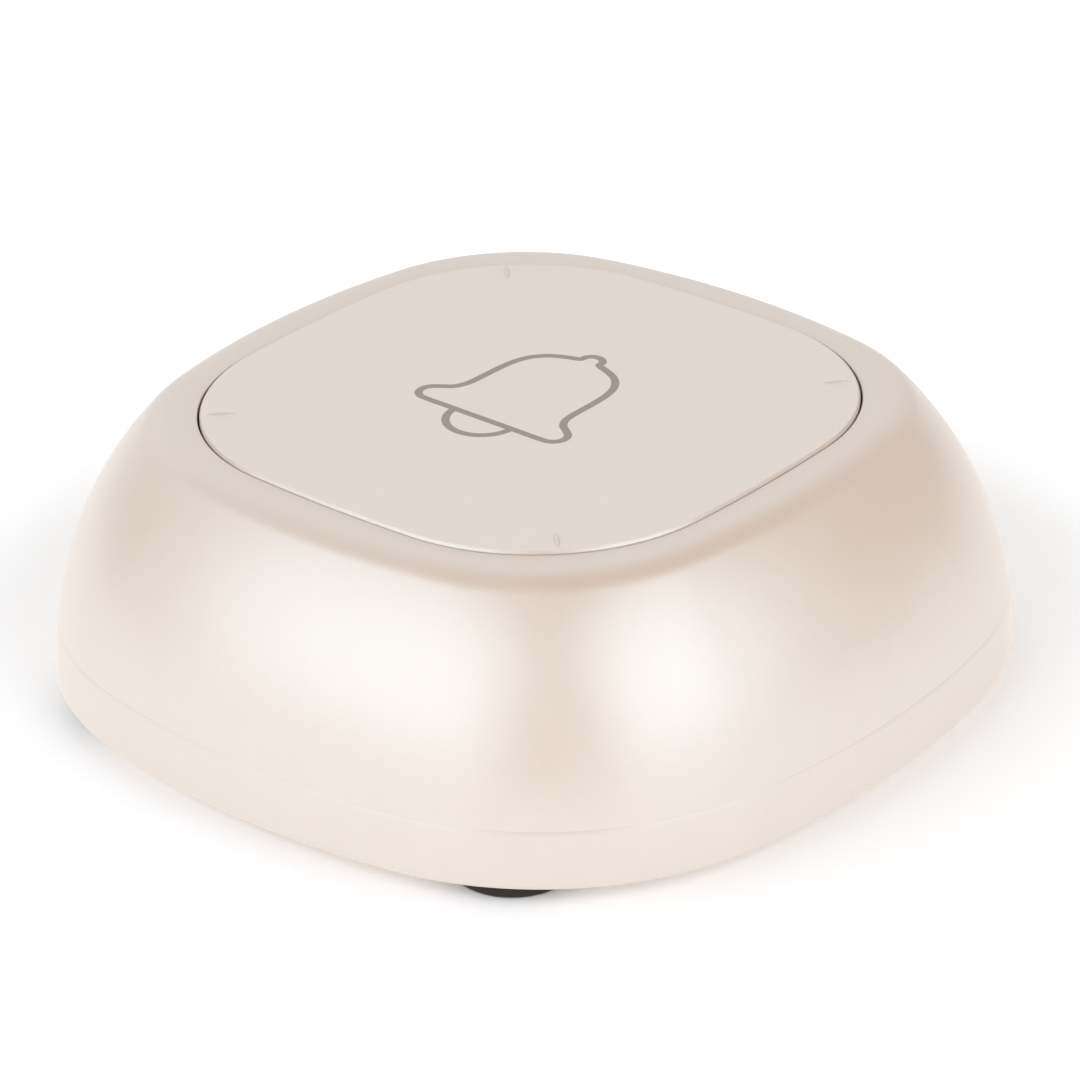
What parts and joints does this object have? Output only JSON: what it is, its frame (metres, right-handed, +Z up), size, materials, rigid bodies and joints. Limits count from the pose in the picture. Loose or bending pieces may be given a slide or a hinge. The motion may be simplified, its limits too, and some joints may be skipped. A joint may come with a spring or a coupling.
{
  "type": "medical alert button",
  "caption": "Table-top wireless alert button: rounded-square body with inward-curving flanks, a large sprung key on top and a coin-slot battery door underneath.",
  "frame": {"origin": "centre of the footprint on the surface that the rubber feet stand on", "axes": "+Z up through the key, -Y towards the person who presses it, sides parallel to X and Y"},
  "size_m": [0.062, 0.062, 0.0203],
  "materials": {
    "shell_pearl": "satin champagne with fine pearl",
    "door_pearl": "fine moulded texture",
    "key_pearl": "satin champagne with fine pearl",
    "foot_rubber": "matt",
    "screw_steel": "zinc plated",
    "cell_steel": "bright",
    "contact_brass": "plated",
    "board_green": "solder mask",
    "switch_black": "moulded",
    "tinned_steel": "tinned",
    "spring_steel": "drawn wire",
    "plunger_white": "moulded",
    "aerial_copper": "enamelled wire",
    "chip_black": "moulded",
    "can_aluminium": "drawn",
    "lamp_red": "clear tinted",
    "chip_ceramic": "fired"
  },
  "bodies": {
    "housing": {"upper_shell": "shell_pearl", "base_shell": "shell_pearl", "foot_front_left": "foot_rubber", "foot_front_right": "foot_rubber", "foot_back_left": "foot_rubber", "foot_back_right": "foot_rubber", "case_screws": "screw_steel", "board_screws": "screw_steel", "coin_cell": "cell_steel", "positive_clip": "contact_brass", "negative_leaf": "contact_brass", "circuit_board": "board_green", "switch_base": "switch_black", "switch_terminals": "tinned_steel", "switch_dome": "spring_steel", "switch_cover": "tinned_steel", "spring_front_left": "spring_steel", "spring_front_right": "spring_steel", "spring_back_left": "spring_steel", "spring_back_right": "spring_steel", "coil_aerial": "aerial_copper", "radio_chip": "chip_black", "crystal_can": "tinned_steel", "buffer_capacitor": "can_aluminium", "indicator_lamp": "lamp_red", "chip_parts": "chip_ceramic"},
    "key": {"call_key": "key_pearl"},
    "plunger": {"switch_plunger": "plunger_white"},
    "door": {"battery_door": "door_pearl"}
  },
  "joints": [
    {"name": "key_press", "type": "slide", "parent": "housing", "child": "key", "axis": [0, 0, -1], "range_m": [0, 0.0005], "stiffness_N_per_m": 800, "springref_m": -0.001, "deforming": ["spring_front_left", "spring_front_right", "spring_back_left", "spring_back_right"]},
    {"name": "switch_press", "type": "slide", "parent": "housing", "child": "plunger", "axis": [0, 0, -1], "range_m": [0, 0.0005], "deforming": ["switch_dome"]},
    {"name": "door_turn", "type": "hinge", "parent": "housing", "child": "door", "pos_m": [0, 0, 0.0014], "axis": [0, 0, -1], "range_deg": [0, 40]}
  ],
  "couplings": [
    {"joint": "switch_press", "follows": "key_press", "ratio": 1}
  ]
}
